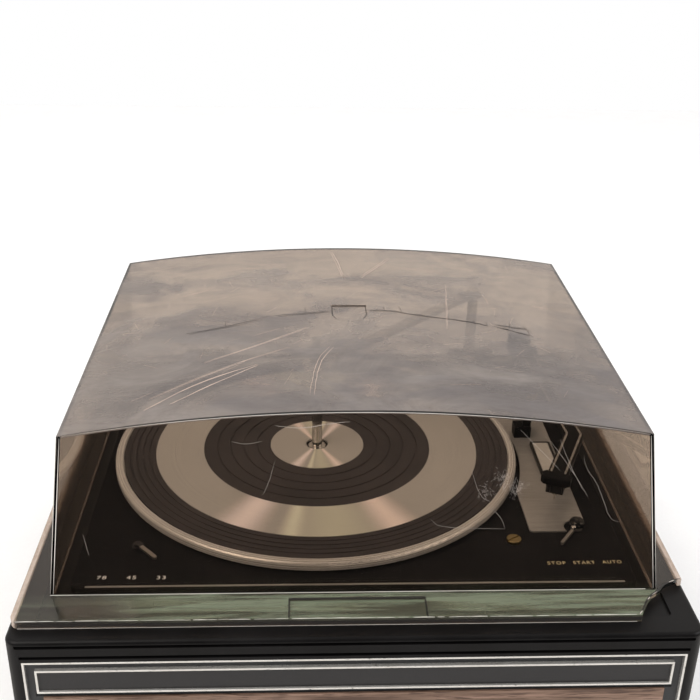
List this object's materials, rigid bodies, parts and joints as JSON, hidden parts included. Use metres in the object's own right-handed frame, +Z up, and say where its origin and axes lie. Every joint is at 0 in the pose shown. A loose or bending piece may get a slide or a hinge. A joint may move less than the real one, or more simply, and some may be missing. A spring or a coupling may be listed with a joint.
{
  "type": "record changer",
  "caption": "Automatic record changer with an eleven-inch platter, tonearm and overarm on a low black plinth with a wood-grain front, under a hinged smoked lid with one broken flange corner.",
  "frame": {"origin": "middle of the footprint, on the plane of the feet", "axes": "+X to the right along the front, +Y to the back, +Z up"},
  "size_m": [0.392, 0.366, 0.2381],
  "materials": {
    "plinth_vinyl": "satin black leathercloth over board",
    "board": "hardboard",
    "rubber": "matte",
    "screw_steel": "zinc plated",
    "fascia_black": "matte",
    "trim_chrome": "polished",
    "window_grey": "satin",
    "wood_veneer": "satin lacquer",
    "smoked_acrylic": "polished, hazed by wear",
    "deck_black": "satin enamel",
    "spring_steel": "bright drawn",
    "brass": "tarnished",
    "brushed_aluminium": "brushed",
    "platter_metal": "turned rim",
    "mat_rubber": "ribbed matte",
    "bearing_steel": "ground",
    "gear_plastic": "moulded nylon",
    "lamination": "varnished",
    "copper_winding": "taped winding",
    "bracket_zinc": "passivated zinc",
    "lever_metal": "satin black",
    "knob_black": "gloss",
    "arm_black": "satin black",
    "cartridge_black": "satin",
    "switch_brown": "moulded phenolic"
  },
  "bodies": {
    "case": {"plinth_shell": "plinth_vinyl", "base_board": "board", "rubber_feet": "rubber", "case_screws": "screw_steel", "fascia_frame": "fascia_black", "fascia_trims": "trim_chrome", "dial_window": "window_grey", "wood_panel": "wood_veneer", "rear_panel": "board", "phono_sockets": "fascia_black", "mains_gland": "rubber", "hinge_fixed_leaves": "screw_steel", "hinge_pins": "bearing_steel", "unit_plate": "deck_black", "suspension_springs": "spring_steel", "rubber_mounts": "rubber", "transit_screws": "brass", "deck_trims": "brushed_aluminium", "side_pad": "brushed_aluminium", "main_bearing": "bearing_steel", "thrust_race": "bearing_steel", "hub_clip": "spring_steel", "well_posts": "bearing_steel", "centre_spindle": "bearing_steel", "motor_stator": "lamination", "motor_coils": "copper_winding", "motor_brackets": "bracket_zinc", "motor_screws": "screw_steel", "deck_bushes": "brass", "power_switch": "switch_brown", "tonearm_base": "arm_black", "arm_rest": "knob_black"},
    "lid": {"lid": "smoked_acrylic", "hinge_lid_leaves": "screw_steel"},
    "platter": {"platter": "platter_metal", "hub_pinion": "brass", "platter_mat": "mat_rubber", "mat_inlays": "brushed_aluminium"},
    "cam_gear": {"cam_gear": "gear_plastic"},
    "rotor": {"rotor": "bearing_steel", "motor_pulley": "brass"},
    "idler_sleeve": {"idler_sleeve": "bracket_zinc"},
    "idler_arm": {"idler_arm": "bracket_zinc"},
    "idler": {"idler_wheel": "gear_plastic", "idler_tyre": "rubber"},
    "speed_lever": {"speed_lever": "lever_metal"},
    "control_lever": {"control_lever": "lever_metal", "control_knob": "knob_black"},
    "switch_slider": {"switch_slider": "switch_brown"},
    "arm_yoke": {"tonearm_yoke": "arm_black", "arm_axle": "bearing_steel"},
    "arm": {"tonearm": "arm_black", "headshell": "arm_black", "cartridge": "cartridge_black", "stylus": "bearing_steel", "counterweight": "arm_black"},
    "lift_rail": {"lift_rail": "bearing_steel"},
    "overarm_post": {"overarm_post": "trim_chrome"},
    "overarm": {"overarm": "brushed_aluminium"},
    "pusher": {"spindle_pusher": "bearing_steel"}
  },
  "joints": [
    {"name": "lid_open", "type": "hinge", "parent": "case", "child": "lid", "pos_m": [0, 0.176, 0.129], "axis": [-1, 0, 0], "range_deg": [0, 70]},
    {"name": "platter_spin", "type": "hinge", "parent": "case", "child": "platter", "pos_m": [-0.0215, 0.005, 0.137], "axis": [0, 0, 1], "continuous": true},
    {"name": "cam_gear_spin", "type": "hinge", "parent": "case", "child": "cam_gear", "pos_m": [0.02788, 0.02297, 0.124], "axis": [0, 0, 1], "continuous": true},
    {"name": "rotor_spin", "type": "hinge", "parent": "case", "child": "rotor", "pos_m": [-0.08299, -0.03803, 0.093], "axis": [0, 0, 1], "continuous": true},
    {"name": "idler_shift", "type": "slide", "parent": "case", "child": "idler_sleeve", "axis": [0, 0, 1], "range_m": [-0.009, 0]},
    {"name": "idler_swing", "type": "hinge", "parent": "idler_sleeve", "child": "idler_arm", "pos_m": [-0.05505, -0.00721, 0.13], "axis": [0, 0, -1], "range_deg": [0, 5.6]},
    {"name": "idler_spin", "type": "hinge", "parent": "idler_arm", "child": "idler", "pos_m": [-0.10015, -0.02363, 0.1315], "axis": [0, 0, 1], "continuous": true},
    {"name": "speed_select", "type": "hinge", "parent": "case", "child": "speed_lever", "pos_m": [-0.1322, -0.1052, 0.134], "axis": [0, 0, -1], "range_deg": [0, 60.01]},
    {"name": "control_select", "type": "hinge", "parent": "case", "child": "control_lever", "pos_m": [0.1425, -0.0892, 0.134], "axis": [0, 0, 1], "range_deg": [0, 62.01]},
    {"name": "switch_slide", "type": "slide", "parent": "case", "child": "switch_slider", "axis": [0, 1, 0], "range_m": [0, 0.006]},
    {"name": "arm_swing", "type": "hinge", "parent": "case", "child": "arm_yoke", "pos_m": [0.146, 0.114, 0.15], "axis": [0, 0, -1], "range_deg": [0, 34]},
    {"name": "arm_lift", "type": "hinge", "parent": "arm_yoke", "child": "arm", "pos_m": [0.146, 0.114, 0.1578], "axis": [-0.9978, -0.0668, 0], "range_deg": [0, 12]},
    {"name": "rail_lift", "type": "slide", "parent": "case", "child": "lift_rail", "axis": [0, 0, 1], "range_m": [0, 0.006]},
    {"name": "overarm_lift", "type": "slide", "parent": "case", "child": "overarm_post", "axis": [0, 0, 1], "range_m": [0, 0.01]},
    {"name": "overarm_swing", "type": "hinge", "parent": "overarm_post", "child": "overarm", "pos_m": [0.104, 0.132, 0.201], "axis": [0, 0, -1], "range_deg": [0, 43]},
    {"name": "pusher_slide", "type": "slide", "parent": "case", "child": "pusher", "axis": [1, 0, 0], "range_m": [-0.0014, 0]}
  ],
  "couplings": [
    {"joint": "cam_gear_spin", "follows": "platter_spin", "ratio": -0.2963},
    {"joint": "rotor_spin", "follows": "platter_spin", "ratio": -49.524},
    {"joint": "idler_spin", "follows": "platter_spin", "ratio": 5.2},
    {"joint": "speed_select", "follows": "idler_shift", "rad_per_m": -116.36},
    {"joint": "idler_swing", "follows": "idler_shift", "rad_per_m": -10.86},
    {"joint": "control_select", "follows": "switch_slide", "rad_per_m": 180.35},
    {"joint": "rail_lift", "follows": "arm_lift", "m_per_rad": 0.028648}
  ]
}
